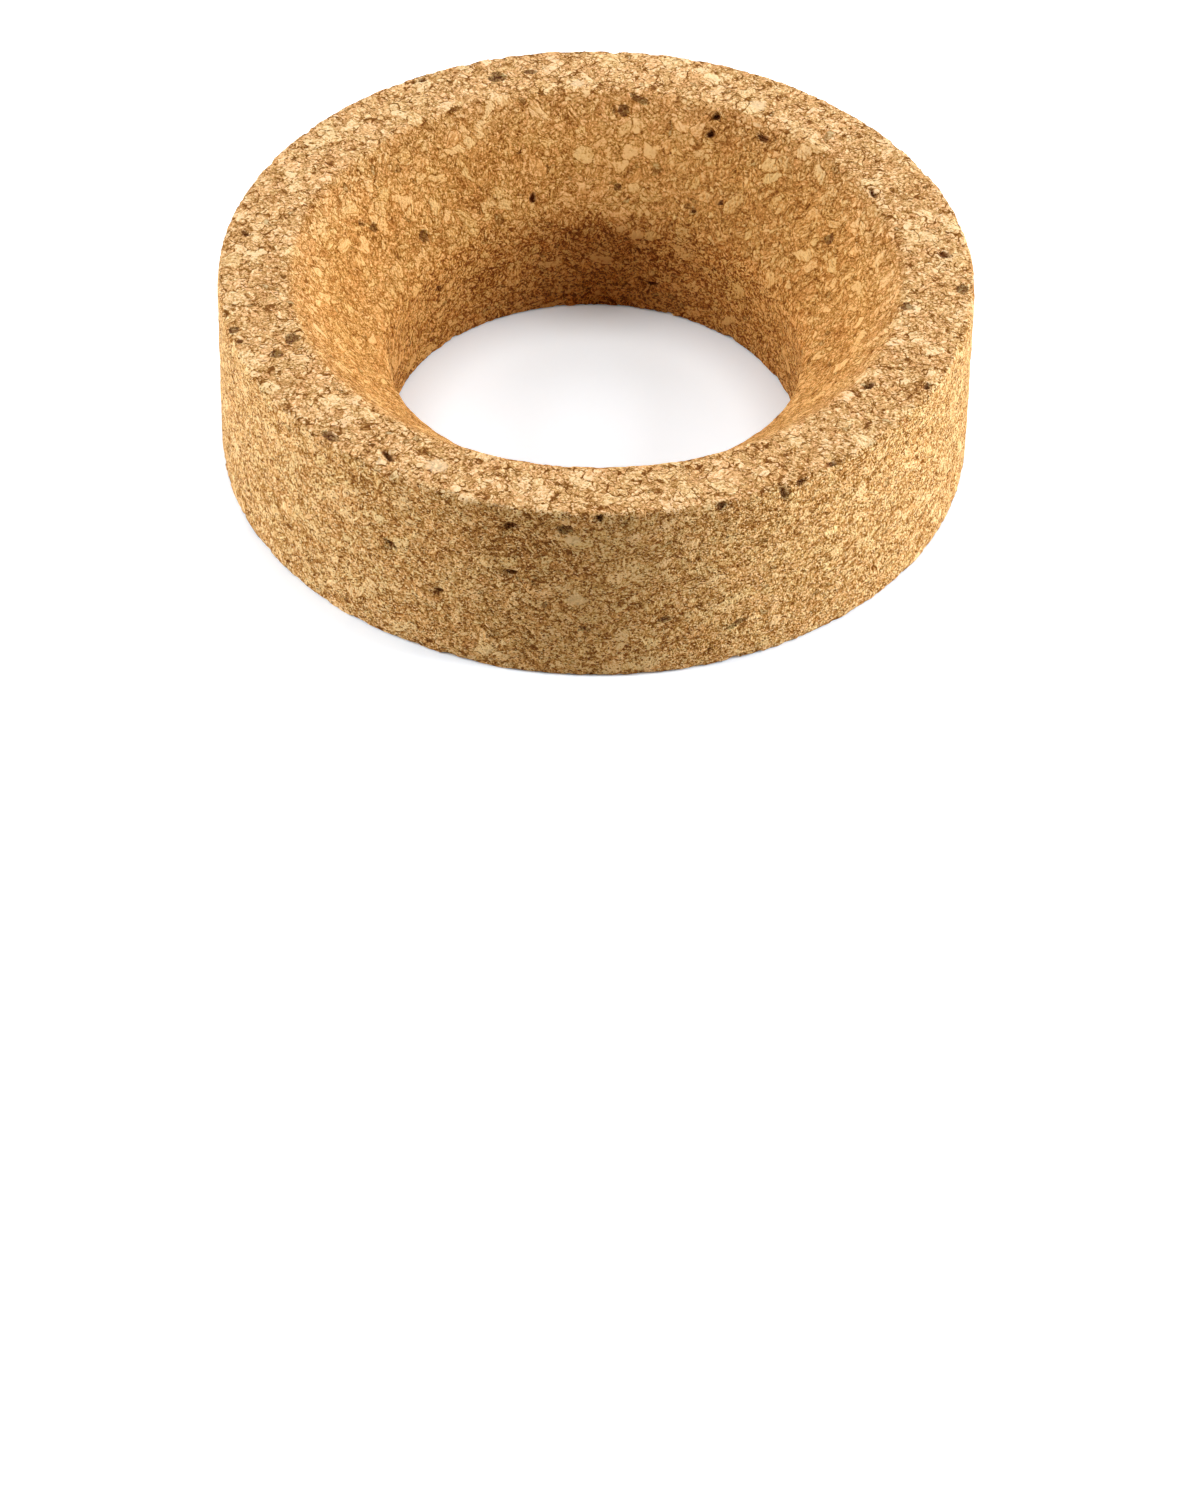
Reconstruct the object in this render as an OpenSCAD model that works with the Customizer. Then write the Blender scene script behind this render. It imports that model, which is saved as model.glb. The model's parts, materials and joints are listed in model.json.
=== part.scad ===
// Cork flask ring
//
// A ring of pressed cork granules that holds a round-bottomed vessel upright
// on the bench. A sloping seat is turned into the upper side, so that a round
// vessel sinks into it and rests on the cork all the way round, and a straight
// bore below the seat gives the lowest part of the vessel room. The underside
// is flat.
//
// The ring is one revolve. Its section is a five-sided outline, drawn in the
// half plane to the right of the axis, and one module rounds each corner of
// it, whatever the angle of that corner.
//
// Units are millimetres. The origin is the centre of the underside, on the
// axis of the ring, and +Z points up out of the seat.

/* [Ring] */

// Outside diameter of the ring
outside_diameter = 110; // [94:1:170]

// Height from the flat underside to the rim
ring_height = 30; // [25:0.5:44]

// Diameter of the straight bore
bore_diameter = 60; // [30:1:70]

/* [Seat] */

// Width of the flat rim, from the outer wall to the mouth of the seat
rim_width = 10.5; // [5:0.5:15]

// Height of the bore, from the underside to the foot of the seat
bore_height = 16; // [10:0.5:22]

/* [Edges] */

// Rounding between the seat and the bore
throat_rounding = 6; // [1:0.5:9]

// Rounding between the rim and the seat
mouth_rounding = 2; // [0.5:0.5:4]

// Rounding between the rim and the outer wall
rim_rounding = 0.8; // [0.2:0.2:3]

// Rounding of the two edges of the underside
foot_rounding = 0.4; // [0.2:0.2:2]

/* [Look] */

// Colour of the cork, as red, green and blue
cork_colour = [0.78, 0.6, 0.4]; // [0:0.01:1]

/* [Hidden] */

// Facets of a full circle, only for the preview
facets = 180;

// Distance by which a sliver starts outside the section, so that it leaves
// nothing thin behind at the corner that it takes away
clear = 1;

// Amount by which a rounding arc reaches through the sides that it touches, so
// that the arc and the side meet at one clean point
hair = 0.0002;

// Radii of the outer wall, the bore and the mouth of the seat
outer_radius = outside_diameter / 2;
bore_radius = bore_diameter / 2;
mouth_radius = outer_radius - rim_width;

// Corners of the section, anticlockwise from the foot of the bore. Each one is
// a point, [distance from the axis, height], with the radius of its rounding.
// The seat is the straight side from the mouth down to the top of the bore.
section_corners = [
    [[bore_radius, 0], foot_rounding],
    [[outer_radius, 0], foot_rounding],
    [[outer_radius, ring_height], rim_rounding],
    [[mouth_radius, ring_height], mouth_rounding],
    [[bore_radius, bore_height], throat_rounding]
];

// Vector of length 1 with the direction of v
function unit(v) = v / norm(v);

// Sliver between a corner of the section and the arc that rounds it. The arc
// touches both sides of the corner, so its centre lies on the line that halves
// the corner's angle, and both touching points lie equally far from the corner.
// before and after are the neighbouring corners.
module corner_sliver(before, corner, after, radius) {
    to_before = unit(before - corner);
    to_after = unit(after - corner);
    inward = unit(to_before + to_after);
    half_angle = acos(to_before * inward);
    touch_distance = radius / tan(half_angle);
    arc_centre = corner + inward * radius / sin(half_angle);
    difference() {
        polygon([corner - inward * clear,
                 corner + to_before * touch_distance,
                 arc_centre,
                 corner + to_after * touch_distance]);
        translate(arc_centre)
            circle(r = radius + hair, $fn = facets);
    }
}

// Section of the ring to the right of the axis
module ring_section() {
    points = [for (entry = section_corners) entry[0]];
    count = len(points);
    difference() {
        polygon(points);
        for (i = [0 : count - 1])
            corner_sliver(points[(i + count - 1) % count],
                          points[i],
                          points[(i + 1) % count],
                          section_corners[i][1]);
    }
}

// The ring, one piece of cork
module cork_ring() {
    color(cork_colour)
        rotate_extrude($fn = facets)
            ring_section();
}

cork_ring();
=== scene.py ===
"""Cork flask ring: a ring of pressed cork granules with a sloping seat.

The file is laid out as a Blender add-on and is run as a script. One operator
cuts the ring, one mixes its cork finish and one sets the stage.

The relief and the colours share one set of granules. The block is filled with
cells, and the ring is a cut through it. The shader finds the cells with its
Voronoi texture, and the mesh code repeats that texture with numpy, so that a
granule that has been torn out has the colour of that same granule.

Sizes are in metres in the settings and the mesh. The relief and the finish
work in millimetres.
"""

import json

import bpy
import numpy as np
from mathutils import Matrix, Vector


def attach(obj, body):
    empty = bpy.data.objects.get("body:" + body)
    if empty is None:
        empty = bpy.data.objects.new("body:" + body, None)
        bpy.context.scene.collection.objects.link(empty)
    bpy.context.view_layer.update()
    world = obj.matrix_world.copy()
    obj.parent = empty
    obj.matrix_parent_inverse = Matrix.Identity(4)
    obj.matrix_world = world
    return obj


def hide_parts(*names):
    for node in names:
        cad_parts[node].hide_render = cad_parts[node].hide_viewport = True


bl_info = {
    "name": "Cork Flask Ring",
    "version": (1, 0, 0),
    "blender": (4, 5, 0),
    "location": "3D View > Sidebar > Cork Ring",
    "description": "Makes a flask ring of pressed cork granules and its studio stage",
    "category": "Object",
}

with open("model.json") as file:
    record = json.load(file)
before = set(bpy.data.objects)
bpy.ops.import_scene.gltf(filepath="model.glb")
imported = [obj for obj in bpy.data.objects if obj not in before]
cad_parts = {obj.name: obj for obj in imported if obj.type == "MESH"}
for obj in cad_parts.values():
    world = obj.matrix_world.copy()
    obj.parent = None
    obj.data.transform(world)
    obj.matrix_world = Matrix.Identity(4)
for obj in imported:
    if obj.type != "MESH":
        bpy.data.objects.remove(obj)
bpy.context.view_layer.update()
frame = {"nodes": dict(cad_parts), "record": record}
NODE = "cork_ring"
BODY = "root"
FINISH = "pressed_cork"
MM = 0.001
FULL_TURN = 2 * np.pi

MOUNTS = {mount["name"]: mount for mount in frame["record"]["mounts"]}
BORE_DIAMETER = 2 * MOUNTS["bore"]["dims"]["r_mm"] * MM
RING_HEIGHT = MOUNTS["rim"]["pos_m"][2]


# --- Granules: the same cells for the relief and for the colours ---

# The block is bent by two soft waves before it is divided into cells, so that
# no granule has flat sides. Lengths and sizes are in millimetres.
BEND_LENGTHS = (5.3, 2.3)
BEND_SIZES = (0.50, 0.24)
BEND_STARTS = ((0.3, 1.9, 4.1), (2.2, 5.0, 0.9))

# Small granules are this many times finer than the large ones, and their
# lattice is moved aside so that the two don't line up.
SMALL_RATIO = 2.1
SMALL_SHIFT = (13.7, 5.1, 9.3)

# Steps of the integer hash that gives each cell its random numbers: which of
# three words is changed, which one it is changed with, in the first list the
# one that is then added to that, and how far it is rolled.
STIR_STEPS = ((0, 2, 1, 4), (1, 0, 2, 6), (2, 1, 0, 8),
              (0, 2, 1, 16), (1, 0, 2, 19), (2, 1, 0, 4))
SETTLE_STEPS = ((2, 1, 14), (0, 2, 11), (1, 0, 25), (2, 1, 16),
                (0, 2, 4), (1, 0, 14), (2, 1, 24))
HASH_START = 0xDEADBEEF + 13
WORD_RANGE = float(0xFFFFFFFF)


def rolled(word, count):
    """word with its 32 bits rolled to the left by count places"""
    return (word << np.uint32(count)) | (word >> np.uint32(32 - count))


def settled(words):
    """Last stage of the hash: target = (target xor source) - rolled(source),
    seven times over, and the last word is the result, scaled to 0..1"""
    words = list(words)
    for target, source, count in SETTLE_STEPS:
        words[target] = (words[target] ^ words[source]) - rolled(words[source], count)
    return words[2] / WORD_RANGE


def stirred(words):
    """First stage of the hash for four inputs: target = (target - source) xor
    rolled(source), then source = source + third, six times over"""
    words = list(words)
    for target, source, third, count in STIR_STEPS:
        words[target] = (words[target] - words[source]) ^ rolled(words[source], count)
        words[source] = words[source] + words[third]
    return words


def begun(words, inputs):
    """words with the start of a hash of that many inputs added to each"""
    start = np.uint32(HASH_START + 4 * inputs)
    return [start + word for word in words]


def cell_numbers(cell):
    """Three random numbers 0..1 for each cell (..., 3) of the lattice.

    The hash works on the bits of the cell's three coordinates. The second and
    third numbers take a fourth input, 1 or 2."""
    bits = [np.ascontiguousarray(cell[..., axis], np.float32).view(np.uint32)
            for axis in range(3)]
    numbers = [settled(begun(bits, 3))]
    for extra in (1.0, 2.0):
        words = stirred(begun(bits, 4))
        words[0] = words[0] + np.float32(extra).view(np.uint32)
        numbers.append(settled(words))
    return np.stack(numbers, -1)


def nearest_cell(place):
    """The cell that each point (n, 3) of the lattice lies in.

    Every unit cube of the lattice holds one random centre, and a point belongs
    to the nearest of the 27 centres round it. Gives that centre's three random
    numbers, and the distance to the seam, which is the plane half way to the
    next centre: ((a + b) / 2) . (b - a) / |b - a|, least over all b."""
    corner = np.floor(place)
    inside = place - corner
    steps = np.array(np.meshgrid(*[(-1, 0, 1)] * 3, indexing="ij")).reshape(3, 27).T
    steps = steps[:, None, :].astype(float)
    numbers = cell_numbers(corner[None] + steps)
    centres = steps + numbers - inside[None]
    nearest = np.argmin(np.linalg.norm(centres, axis=2), 0)
    points = np.arange(len(place))
    own = centres[nearest, points]
    apart = centres - own[None]
    length = np.linalg.norm(apart, axis=2)
    length[nearest, points] = np.inf
    half_way = np.sum((own[None] + centres) / 2 * apart, 2) / length
    half_way[nearest, points] = np.inf
    return numbers[nearest, points], half_way.min(0)


def bent(place):
    """place (n, 3) in mm, moved by two waves: each axis by a sine of the next
    axis, and then each axis by a shorter sine of the one before"""
    turned = (np.roll(place, -1, 1), np.roll(place, 1, 1))
    moved = place.copy()
    for source, length, size, start in zip(turned, BEND_LENGTHS, BEND_SIZES, BEND_STARTS):
        moved += size * np.sin(source * (FULL_TURN / length) + np.array(start))
    return moved


def granules(place, look):
    """Granules of the block at each point (n, 3) in mm.

    Large cells are kept whole where their first random number is below the
    large share, and otherwise hold small cells. Gives three random numbers for
    the granule, whether it is a large one, and the distance to its seam in mm."""
    size = look.granule_size / MM
    lattice = bent(place) * np.array((1, 1, look.flattening)) / size
    large, large_seam = nearest_cell(lattice)
    small, small_seam = nearest_cell(lattice * SMALL_RATIO + np.array(SMALL_SHIFT))
    whole = large[:, 0] < look.large_share
    numbers = np.where(whole[:, None], large, small)
    seam = np.where(whole, large_seam, np.minimum(large_seam, small_seam / SMALL_RATIO))
    return numbers, whole, seam * size


# --- Section of the ring, and the marks on it ---

# Distance between mesh points along each side of the section, in mm, in the
# order underside, wall, rim, seat, bore, and along a rounding arc, and the
# number of points round the ring
SIDE_SPACING = (1.0, 0.62, 0.48, 0.48, 0.60)
ARC_SPACING = 0.42
POINTS_AROUND = 580

# Weights of each side, in the same order: sawn flat faces, ground hollow faces
# and the deep bore. The outer wall, which is turned, has none of them.
SAWN = (1, 0, 1, 0, 0)
GROUND = (0, 0, 0, 1, 1)
DEEP = (0, 0, 0, 0, 1)

# The upper part of the seat takes this much of the rim's look, over this height in mm
SEAT_BLEND = 0.4
SEAT_BLEND_REACH = 6.0

# Marks on each side: voids between granules, bark, pale chips and soft dark
# stains. The azimuth in degrees from +X towards +Y, the place on the side in mm
# (radius on the rim, height elsewhere), the length along the side, the width
# across it, and the turn of the length in degrees from level.
VOIDS = {
    "rim": ((120, 53.6, 2.2, 0.9, 10), (171, 52.0, 1.0, 2.6, 40), (26, 45.2, 2.6, 1.0, 5),
        (6, 50.9, 1.6, 2.2, 30), (327, 46.4, 2.6, 1.1, 20), (332, 53.5, 1.6, 1.0, 0),
        (308, 54.3, 2.0, 1.2, 20), (236, 51.4, 3.2, 1.2, 20)),
    "seat": ((107, 19.1, 1.1, 1.6, 20), (153, 24.7, 1.0, 1.0, 0), (66, 27.0, 1.2, 1.8, 60),
        (66, 28.9, 1.5, 1.2, 0), (55, 28.4, 2.6, 1.1, 10), (58, 20.5, 1.0, 0.9, 0),
        (64, 18.7, 1.1, 0.8, 30)),
    "wall": ((302, 29.2, 1.4, 1.6, 0), (299, 28.6, 1.1, 3.0, 15), (289, 29.2, 1.9, 1.4, 0),
        (271, 29.2, 1.2, 1.6, 0), (258, 26.4, 3.2, 1.1, 0), (258, 18.1, 3.2, 0.9, -4),
        (239, 17.0, 2.6, 1.2, -25), (247, 11.7, 1.7, 0.8, 5), (205, 6.7, 1.2, 2.6, 10)),
    "bore": ((74, 5.1, 6.0, 0.6, 8), (141, 11.3, 1.8, 1.0, 0)),
}
BARK = {
    "seat": ((82, 29.2, 3.8, 1.1, 22), (85, 27.9, 1.8, 2.0, 0), (140, 19.3, 2.0, 2.0, 0),
        (151, 23.4, 1.7, 1.5, 0), (85, 19.8, 1.5, 1.3, 0), (26, 23.8, 1.9, 1.6, 0)),
    "rim": ((108, 49.7, 3.0, 2.4, 0), (102, 50.0, 2.4, 1.2, 0), (357, 53.1, 2.2, 2.0, 0),
        (351, 45.6, 1.8, 2.0, 0), (226, 53.4, 3.2, 1.8, 0), (204, 49.8, 1.8, 2.0, 0),
        (201, 46.4, 2.4, 2.0, 0), (196, 54.0, 1.6, 1.8, 0)),
    "wall": ((266, 26.9, 2.4, 1.7, 0), (281, 10.0, 2.6, 1.1, 0), (292, 6.9, 4.2, 1.1, 22),
        (269, 8.8, 2.2, 0.9, 0)),
}
PALE = {
    "wall": ((267, 25.2, 2.2, 2.0, 0), (268, 14.2, 3.2, 2.4, 0)),
    "rim": ((244, 49.8, 3.4, 3.2, 0), (236, 53.2, 1.6, 1.6, 0), (60, 47.6, 2.6, 2.8, 0),
        (94, 46.2, 2.2, 2.0, 0)),
}
STAINS = {
    "bore": ((96, 14.4, 15.0, 6.0, 0), (70, 10.0, 9.0, 5.0, -12), (124, 8.6, 9.0, 4.0, 8)),
    "seat": ((121, 19.9, 6.5, 4.0, 0), (64, 27.8, 6.0, 4.0, 10)),
    "wall": ((259, 22.0, 22.0, 9.0, 0), (296, 26.0, 12.0, 8.0, -15), (236, 26.5, 12.0, 7.0, 12)),
    "rim": ((171, 51.5, 6.0, 5.0, 0), (330, 52.5, 7.0, 4.0, 0)),
}

# Corners of the section that crumble, and how far in from them, in mm
SHARP_CORNERS = (0, 1, 2)
EDGE_REACH = 2.2

# A mark's field falls from 1 at its middle to 0 at its edge and on to this
FIELD_FLOOR = -2.0


def unit(vector):
    """vector at length 1, along the last axis"""
    return vector / np.linalg.norm(vector, axis=-1, keepdims=True)


def section_corners(sizes):
    """Corners of the section (5, 2) as [distance from the axis, height] in mm,
    anticlockwise from the foot of the bore, and the rounding of each one"""
    outer = sizes.outside_diameter / 2 / MM
    bore = sizes.bore_diameter / 2 / MM
    mouth = outer - sizes.rim_width / MM
    height = sizes.ring_height / MM
    corners = np.array([(bore, 0), (outer, 0), (outer, height), (mouth, height),
                        (bore, sizes.bore_height / MM)])
    radii = np.array((sizes.foot_rounding, sizes.foot_rounding, sizes.rim_rounding,
                      sizes.mouth_rounding, sizes.throat_rounding)) / MM
    return corners, radii


def rounded_section(sizes):
    """Closed outline of the section: points, outward normals and face weights.

    Each corner is an arc that touches both sides. With half the corner's angle
    h and radius r, the arc's centre is r / sin h from the corner along the line
    that halves the angle, and it touches each side r / tan h from the corner."""
    corners, radii = section_corners(sizes)
    to_before = unit(np.roll(corners, 1, 0) - corners)
    to_after = unit(np.roll(corners, -1, 0) - corners)
    inward = unit(to_before + to_after)
    half_angle = np.arccos(np.sum(to_before * inward, 1))
    centres = corners + inward * (radii / np.sin(half_angle))[:, None]
    touch = radii / np.tan(half_angle)
    starts = corners + to_before * touch[:, None]
    ends = corners + to_after * touch[:, None]
    points, normals, weights = [], [], []
    side_weights = np.array((SAWN, GROUND, DEEP), float).T
    for i in range(len(corners)):
        before = side_weights[i - 1]
        after = side_weights[i]
        turn = np.pi - 2 * half_angle[i]
        count = max(3, round(turn * radii[i] / ARC_SPACING))
        share = np.arange(count)[:, None] / count
        first = starts[i] - centres[i]
        angle = np.arctan2(first[1], first[0]) + share * turn
        normal = np.hstack((np.cos(angle), np.sin(angle)))
        points.append(centres[i] + radii[i] * normal)
        normals.append(normal)
        weights.append(before + (after - before) * share)
        goal = starts[(i + 1) % len(corners)]
        count = round(np.linalg.norm(goal - ends[i]) / SIDE_SPACING[i])
        share = np.arange(count)[:, None] / count
        points.append(ends[i] + (goal - ends[i]) * share)
        normals.append(np.repeat(normal_of(goal - ends[i])[None], count, 0))
        weights.append(np.repeat(after[None], count, 0))
    return np.vstack(points), np.vstack(normals), np.vstack(weights)


def normal_of(side):
    """Outward normal of a side that is passed anticlockwise"""
    side = unit(side)
    return np.array((side[1], -side[0]))


def edge_nearness(place, sizes):
    """1 on the three sharp edges of the ring, falling to 0 at a distance:
    max(0, 1 - distance / reach) from the nearest of the section's corners"""
    corners, _ = section_corners(sizes)
    section = np.stack((np.hypot(place[:, 0], place[:, 1]), place[:, 2]), 1)
    away = [np.linalg.norm(section - corners[i], axis=1) for i in SHARP_CORNERS]
    return np.maximum(0, 1 - np.min(away, 0) / EDGE_REACH)


def mark_field(marks, place, sizes):
    """How deep each point (n, 3) lies in the nearest mark: 1 at its middle, 0
    on its edge, and negative outside.

    A mark is an ellipse laid on its side of the ring. With a along and b across
    it, the field is 1 - sqrt((a / half length)^2 + (b / half width)^2)."""
    marks = [(side, *mark) for side, group in marks.items() for mark in group]
    corners, _ = section_corners(sizes)
    bore, outer = corners[0, 0], corners[1, 0]
    height = corners[2, 1]
    slope = (corners[3, 0] - bore) / (height - corners[4, 1])
    radius = {"wall": lambda at: outer, "bore": lambda at: bore, "rim": lambda at: at,
              "seat": lambda at: bore + (at - corners[4, 1]) * slope}
    up = {"wall": (0, 1), "bore": (0, 1), "rim": (1, 0), "seat": tuple(unit(np.array((slope, 1))))}
    azimuth = np.radians([mark[1] for mark in marks])
    middle_r = np.array([radius[mark[0]](mark[2]) for mark in marks])
    middle_z = np.array([height if mark[0] == "rim" else mark[2] for mark in marks])
    length, width, turn = np.array([mark[3:] for mark in marks]).T
    turn = np.radians(turn)
    up_r, up_z = np.array([up[mark[0]] for mark in marks], float).T
    around = np.stack((-np.sin(azimuth), np.cos(azimuth), 0 * azimuth), 1)
    outward = np.stack((np.cos(azimuth), np.sin(azimuth), 0 * azimuth), 1)
    middle = outward * middle_r[:, None] + np.array((0, 0, 1)) * middle_z[:, None]
    climb = outward * up_r[:, None] + np.array((0, 0, 1)) * up_z[:, None]
    off = np.cross(around, climb)
    along = place @ around.T - np.sum(middle * around, 1)
    across = place @ climb.T - np.sum(middle * climb, 1)
    away = place @ off.T - np.sum(middle * off, 1)
    a = along * np.cos(turn) + across * np.sin(turn)
    b = across * np.cos(turn) - along * np.sin(turn)
    reach = np.sqrt((2 * a / length) ** 2 + (2 * b / width) ** 2 + (2 * away / width) ** 2)
    return np.maximum(1 - reach.min(1), FIELD_FLOOR)


def eased(value, low, high):
    """0 below low, 1 above high, and a smooth S between: t^2 (3 - 2 t)"""
    t = np.clip((value - low) / (high - low), 0, 1)
    return t * t * (3 - 2 * t)


# Width of a seam, and depths of the relief, in mm
SEAM_WIDTH = 0.30
SEAM_DEPTH = 0.10
TORN_DEPTH = 0.45
CRUMB_DEPTH = 0.9
VOID_DEPTH = 0.9
BARK_DEPTH = 0.12
LEAST_DEPTH = 0.01

# How far in from its seam a crumb or a torn granule has its full depth, in mm,
# and between which values of their fields voids and bark reach theirs
CRUMB_SLOPE = 0.3
TORN_SLOPE = 0.45
VOID_SLOPE = (-0.1, 0.7)
BARK_SLOPE = (0.0, 0.4)

# Nearness to an edge at which crumbs start, how far grinding levels the
# granules, and how much shallower seams are off the sawn faces
CRUMB_START = 0.25
GROUND_LEVELLING = 0.3575
SEAM_SANDING = 0.4


def relief(place, sawn, ground, edge_share, voids, bark, look):
    """Depth in mm of each point below the true section, never above it.

    depth = granule's own level + seam + crumbs + torn granules + voids + bark,
    where the seam is exp(-(d / width)^2) at distance d from the granule's edge,
    and crumbs have broken away beside the sharp edges of the ring."""
    numbers, whole, seam = granules(place, look)
    level = look.granule_relief / MM * (1 - GROUND_LEVELLING * ground)
    edge = np.exp(-(seam / SEAM_WIDTH) ** 2)
    depth = level * numbers[:, 0] + SEAM_DEPTH * (1 - SEAM_SANDING * (1 - sawn)) * edge
    crumbs = CRUMB_DEPTH * np.maximum(edge_share - CRUMB_START, 0) * numbers[:, 2] ** 2
    depth += crumbs * eased(seam, 0.0, CRUMB_SLOPE)
    torn = (numbers[:, 1] < look.torn_share) & ~whole
    depth += torn * TORN_DEPTH * eased(seam, 0.0, TORN_SLOPE)
    depth += VOID_DEPTH * eased(voids, *VOID_SLOPE)
    depth += BARK_DEPTH * eased(bark, *BARK_SLOPE)
    return depth + LEAST_DEPTH


# A faint step runs round the bore at this height, in mm, where the two cuts of
# the bore meet, and the upper cut is this much wider
STEP_HEIGHT = 7.2
STEP_DEPTH = 0.12
STEP_LENGTH = 0.5


def bore_step(place, deep):
    """Depth in mm that the upper cut of the bore lies behind the lower one: the
    step's depth, eased in over its length, times the weight of the bore"""
    return STEP_DEPTH * deep * eased(place[:, 2], STEP_HEIGHT, STEP_HEIGHT + STEP_LENGTH)


def cut_ring(sizes, look):
    """The ring: the rounded section carried round the axis, then sunk along its
    normals by the relief.

    place(s, t) = (r(s) cos t, r(s) sin t, z(s)), and the grid is closed in both
    directions, so it has no edge and no pole."""
    points, normals, weights = rounded_section(sizes)
    rows = len(points)
    turn = np.arange(POINTS_AROUND) * (FULL_TURN / POINTS_AROUND)
    across = np.cos(turn)
    along = np.sin(turn)

    def carried(pairs):
        """Each pair (r, z) at every angle t: (r cos t, r sin t, z)"""
        r, z = pairs.T
        flat = np.ones(POINTS_AROUND)
        grid = np.stack((np.outer(r, across), np.outer(r, along), np.outer(z, flat)), 2)
        return grid.reshape(-1, 3)

    place = carried(points)
    normal = carried(normals)
    sawn, ground, deep = np.repeat(weights, POINTS_AROUND, 0).T
    top = sizes.ring_height / MM
    blend = SEAT_BLEND * (ground - deep) * eased(place[:, 2], top - SEAT_BLEND_REACH, top)
    sawn, ground = sawn + blend, ground - blend
    voids, bark, pale, stains = (
        mark_field(marks, place, sizes) for marks in (VOIDS, BARK, PALE, STAINS))
    depth = relief(place, sawn, ground, edge_nearness(place, sizes), voids, bark, look)
    depth += bore_step(place, deep)
    place = place - normal * depth[:, None]

    row = np.arange(rows)[:, None]
    column = np.arange(POINTS_AROUND)[None]
    next_row = (row + 1) % rows
    next_column = (column + 1) % POINTS_AROUND
    quads = np.stack((row * POINTS_AROUND + column, row * POINTS_AROUND + next_column,
                      next_row * POINTS_AROUND + next_column,
                      next_row * POINTS_AROUND + column), 2).reshape(-1, 4)

    mesh = bpy.data.meshes.new(NODE)
    mesh.vertices.add(len(place))
    mesh.vertices.foreach_set("co", (place * MM).ravel())
    mesh.loops.add(quads.size)
    mesh.loops.foreach_set("vertex_index", quads.ravel())
    mesh.polygons.add(len(quads))
    mesh.polygons.foreach_set("loop_start", np.arange(0, quads.size, 4))
    mesh.polygons.foreach_set("use_smooth", np.ones(len(quads), bool))
    mesh.update(calc_edges=True)
    mesh.validate()
    values = {"sawn": sawn, "ground": ground, "deep": deep,
              "void": voids, "bark": bark, "pale": pale, "stain": stains}
    for name, value in values.items():
        mesh.attributes.new(name, "FLOAT", "POINT").data.foreach_set(
            "value", value.astype(np.float32))
    return mesh


# --- Cork finish ---

class Recipe:
    """Adds nodes to a material, each by a plain word, and gives their sockets"""

    def __init__(self, tree):
        self.tree = tree

    def add(self, kind, inputs=(), **settings):
        """A node of that kind, with its settings and its inputs set or linked"""
        node = self.tree.nodes.new(kind)
        for name, value in settings.items():
            setattr(node, name, value)
        for key, value in dict(inputs).items():
            self.put(node.inputs[key], value)
        return node

    def put(self, socket, value):
        """Links a socket to an input, or sets the input to a number"""
        if isinstance(value, bpy.types.NodeSocket):
            self.tree.links.new(value, socket)
        else:
            socket.default_value = value

    def maths(self, operation, *values):
        """One step of arithmetic on numbers"""
        node = self.add("ShaderNodeMath", enumerate(values), operation=operation)
        return node.outputs[0]

    def total(self, *values):
        """Sum of any number of values"""
        result = values[0]
        for value in values[1:]:
            result = self.maths("ADD", result, value)
        return result

    def times(self, *values):
        """Product of any number of values"""
        result = values[0]
        for value in values[1:]:
            result = self.maths("MULTIPLY", result, value)
        return result

    def vector(self, operation, *values):
        """One step of arithmetic on vectors"""
        node = self.add("ShaderNodeVectorMath", enumerate(values), operation=operation)
        return node.outputs[0]

    def scaled(self, vector, factor):
        """vector times a number"""
        node = self.add("ShaderNodeVectorMath", {0: vector, "Scale": factor}, operation="SCALE")
        return node.outputs[0]

    def parts(self, vector):
        """The three parts of a vector"""
        return self.add("ShaderNodeSeparateXYZ", {0: vector}).outputs[:3]

    def joined(self, x, y, z):
        """A vector of three parts"""
        return self.add("ShaderNodeCombineXYZ", {0: x, 1: y, 2: z}).outputs[0]

    def noise(self, place, scale, detail, rough=0.5, colour=False):
        """Cloudy noise 0..1 with its own size, fineness and roughness"""
        node = self.add("ShaderNodeTexNoise", {"Vector": place, "Scale": scale,
                                               "Detail": detail, "Roughness": rough})
        return node.outputs["Color" if colour else "Fac"]

    def cells(self, place, feature):
        """Cells of the lattice: their random numbers, or the distance to the seam"""
        node = self.add("ShaderNodeTexVoronoi", {"Vector": place, "Scale": 1.0}, feature=feature)
        return node.outputs["Color" if feature == "F1" else "Distance"]

    def eased(self, value, low, high, start=0.0, end=1.0):
        """start below low, end above high, and a smooth S between"""
        node = self.add("ShaderNodeMapRange", {0: value, 1: low, 2: high, 3: start, 4: end},
                        interpolation_type="SMOOTHSTEP")
        return node.outputs[0]

    def mix(self, share, first, second):
        """Colour between first and second"""
        node = self.add("ShaderNodeMix", {0: share, 6: first, 7: second}, data_type="RGBA")
        return node.outputs[2]

    def tint(self, share, colour, filter_colour):
        """colour multiplied by a filter, by a share 0..1"""
        node = self.add("ShaderNodeMix", {0: share, 6: colour, 7: filter_colour},
                        data_type="RGBA", blend_type="MULTIPLY")
        return node.outputs[2]

    def tones(self, value, stops):
        """Colour of a tone 0..1 on a scale of colours"""
        node = self.add("ShaderNodeValToRGB", {0: value})
        ramp = node.color_ramp
        stops = tuple(stops)
        while len(ramp.elements) < len(stops):
            ramp.elements.new(1.0)
        for element, (position, colour) in zip(ramp.elements, stops):
            element.position = position
            element.color = colour
        return node.outputs[0]

    def attribute(self, name):
        """A number that the mesh carries"""
        return self.add("ShaderNodeAttribute", attribute_name=name).outputs["Fac"]


def centred(recipe, noise, size):
    """Noise 0..1 turned into a value about 0 with that size"""
    return recipe.times(recipe.maths("SUBTRACT", noise, 0.5), size)


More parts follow.
